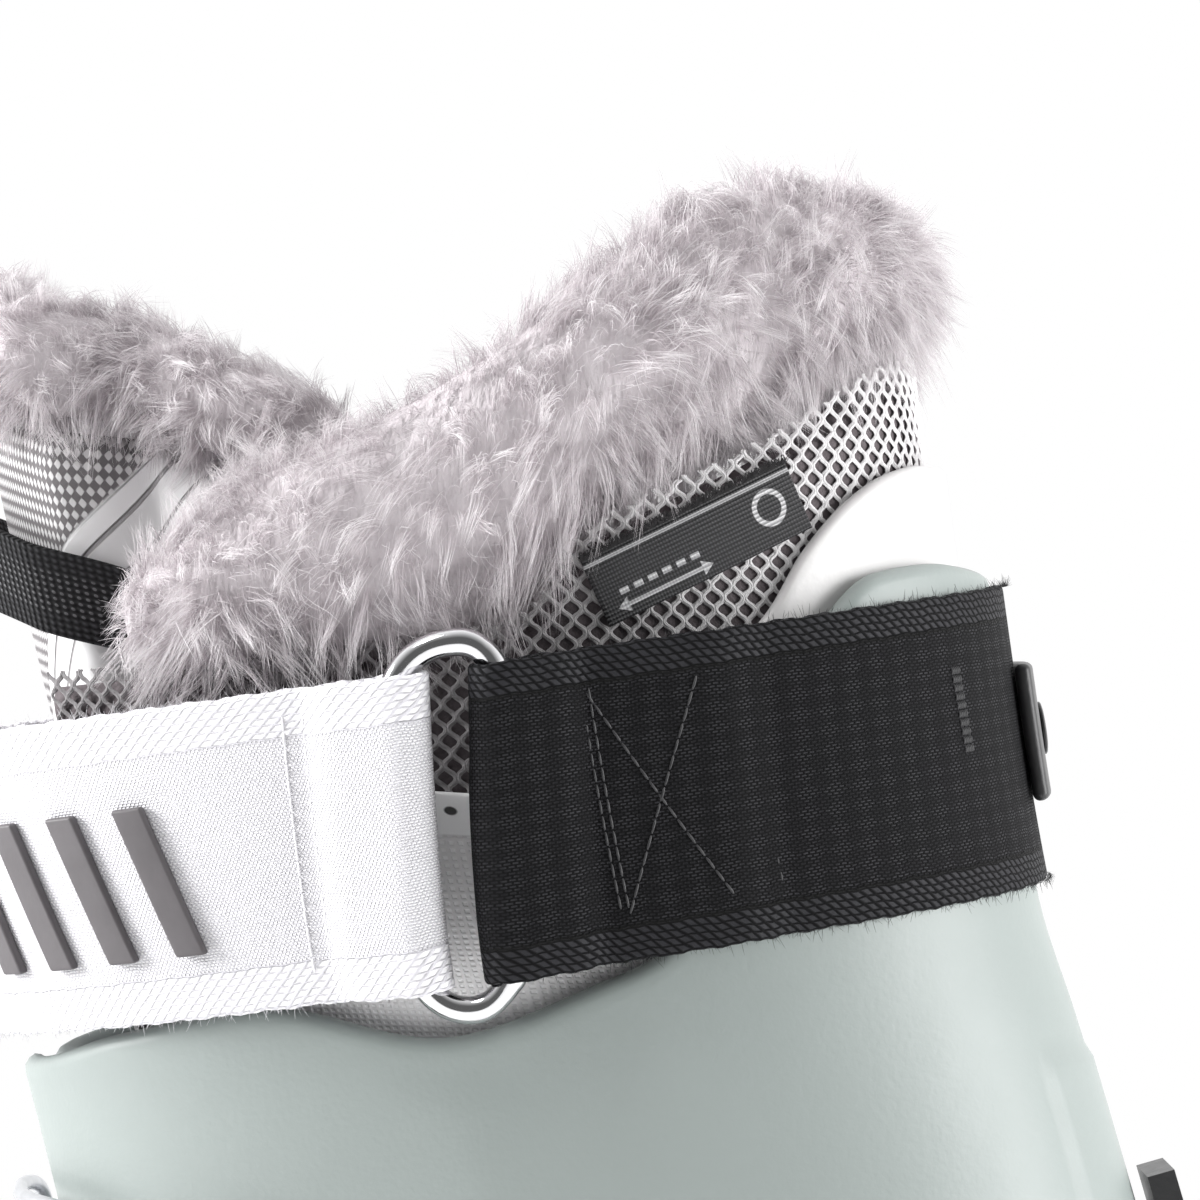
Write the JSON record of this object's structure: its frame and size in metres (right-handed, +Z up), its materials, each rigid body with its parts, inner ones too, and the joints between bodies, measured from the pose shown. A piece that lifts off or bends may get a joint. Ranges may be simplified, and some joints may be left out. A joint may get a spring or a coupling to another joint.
{
  "type": "alpine ski boot",
  "caption": "Left alpine ski boot with a hinged cuff, buckles, a webbing power strap with a steel ring and a fur-lined knit liner.",
  "frame": {"origin": "the floor plane under the ankle, on the heel sole block's flat underside, midway across the boot", "axes": "+Z up the leg, -Y towards the toe, +X towards the outer side of a left boot"},
  "size_m": [0.1289, 0.2892, 0.3505],
  "materials": {
    "mint_plastic": "satin moulded",
    "white_plastic": "satin moulded",
    "black_plastic": "fine moulded",
    "sole_rubber": "matt",
    "grey_foam": "matt",
    "knit": "open knit",
    "fur": "long pile",
    "chrome": "polished",
    "steel": "brushed",
    "black_web": "jacquard weave",
    "white_web": "satin weave",
    "label_weave": "ribbed weave",
    "white_panel": "grid embossed",
    "dark_rubber": "satin"
  },
  "bodies": {
    "shell": {"lower_shell": "mint_plastic", "heel_sole": "sole_rubber", "toe_sole": "sole_rubber", "heel_sole_screw_inner": "steel", "heel_sole_screw_outer": "steel", "toe_sole_screw_inner": "steel", "toe_sole_screw_outer": "steel", "boot_board": "grey_foam", "liner_foot": "grey_foam", "footbed": "grey_foam", "pivot_bolt_outer": "steel", "pivot_bolt_inner": "steel", "buckle_toe_base": "black_plastic", "buckle_toe_ladder": "steel", "buckle_instep_base": "black_plastic", "buckle_instep_ladder": "steel"},
    "cuff": {"cuff": "mint_plastic", "spoiler": "white_plastic", "liner_cuff": "knit", "tongue": "knit", "collar_fur": "fur", "tongue_fur": "fur", "strap_rear_web": "black_web", "strap_front_web": "white_web", "strap_ring": "chrome", "strap_plate": "black_plastic", "strap_screw": "steel", "woven_label": "label_weave", "side_panel_outer": "white_panel", "side_panel_inner": "white_panel", "pull_loop": "black_web", "walk_base": "black_plastic", "strap_bar_1": "dark_rubber", "strap_bar_2": "dark_rubber", "strap_bar_3": "dark_rubber", "strap_bar_4": "dark_rubber", "strap_bar_5": "dark_rubber", "buckle_cuff_lower_base": "black_plastic", "buckle_cuff_lower_ladder": "steel", "buckle_cuff_upper_base": "black_plastic", "buckle_cuff_upper_ladder": "steel"},
    "walk_lever": {"walk_lever": "black_plastic"},
    "buckle_toe_lever": {"buckle_toe_lever": "black_plastic"},
    "buckle_toe_bail": {"buckle_toe_bail": "steel"},
    "buckle_instep_lever": {"buckle_instep_lever": "black_plastic"},
    "buckle_instep_bail": {"buckle_instep_bail": "steel"},
    "buckle_cuff_lower_lever": {"buckle_cuff_lower_lever": "black_plastic"},
    "buckle_cuff_lower_bail": {"buckle_cuff_lower_bail": "steel"},
    "buckle_cuff_upper_lever": {"buckle_cuff_upper_lever": "black_plastic"},
    "buckle_cuff_upper_bail": {"buckle_cuff_upper_bail": "steel"}
  },
  "joints": [
    {"name": "cuff_flex", "type": "hinge", "parent": "shell", "child": "cuff", "pos_m": [0, 0.035, 0.105], "axis": [1, 0, 0], "range_deg": [0, 5], "stiffness_Nm_per_rad": 150},
    {"name": "walk_lever_flip", "type": "hinge", "parent": "cuff", "child": "walk_lever", "pos_m": [0, 0.09563, 0.13914], "axis": [-1, 0, 0], "range_deg": [0, 45]},
    {"name": "buckle_toe_open", "type": "hinge", "parent": "shell", "child": "buckle_toe_lever", "pos_m": [0.013, -0.13604, 0.08341], "axis": [-0.1615, -0.9301, -0.3298], "range_deg": [0, 90]},
    {"name": "buckle_toe_bail_swing", "type": "hinge", "parent": "buckle_toe_lever", "child": "buckle_toe_bail", "pos_m": [0.02772, -0.13554, 0.07868], "axis": [-0.2093, -0.96, -0.1859], "range_deg": [-90, 0]},
    {"name": "buckle_instep_open", "type": "hinge", "parent": "shell", "child": "buckle_instep_lever", "pos_m": [0.02047, -0.09815, 0.09661], "axis": [-0.2196, -0.9299, -0.2949], "range_deg": [0, 90]},
    {"name": "buckle_instep_bail_swing", "type": "hinge", "parent": "buckle_instep_lever", "child": "buckle_instep_bail", "pos_m": [0.03196, -0.09726, 0.08801], "axis": [-0.149, -0.977, -0.1529], "range_deg": [-90, 0]},
    {"name": "buckle_cuff_lower_open", "type": "hinge", "parent": "cuff", "child": "buckle_cuff_lower_lever", "pos_m": [0.02003, -0.07725, 0.15372], "axis": [-0.0159, 0.2522, -0.9675], "range_deg": [0, 90]},
    {"name": "buckle_cuff_lower_bail_swing", "type": "hinge", "parent": "buckle_cuff_lower_lever", "child": "buckle_cuff_lower_bail", "pos_m": [0.03296, -0.06829, 0.15391], "axis": [-0.0265, 0.2517, -0.9674], "range_deg": [-90, 0]},
    {"name": "buckle_cuff_upper_open", "type": "hinge", "parent": "cuff", "child": "buckle_cuff_upper_lever", "pos_m": [0.0195, -0.08448, 0.18076], "axis": [-0.0176, 0.2395, -0.9707], "range_deg": [0, 90]},
    {"name": "buckle_cuff_upper_bail_swing", "type": "hinge", "parent": "buckle_cuff_upper_lever", "child": "buckle_cuff_upper_bail", "pos_m": [0.03275, -0.07605, 0.1809], "axis": [-0.0306, 0.2431, -0.9695], "range_deg": [-90, 0]}
  ],
  "couplings": [
    {"joint": "buckle_toe_bail_swing", "follows": "buckle_toe_open", "ratio": -1},
    {"joint": "buckle_instep_bail_swing", "follows": "buckle_instep_open", "ratio": -1},
    {"joint": "buckle_cuff_lower_bail_swing", "follows": "buckle_cuff_lower_open", "ratio": -1},
    {"joint": "buckle_cuff_upper_bail_swing", "follows": "buckle_cuff_upper_open", "ratio": -1}
  ]
}
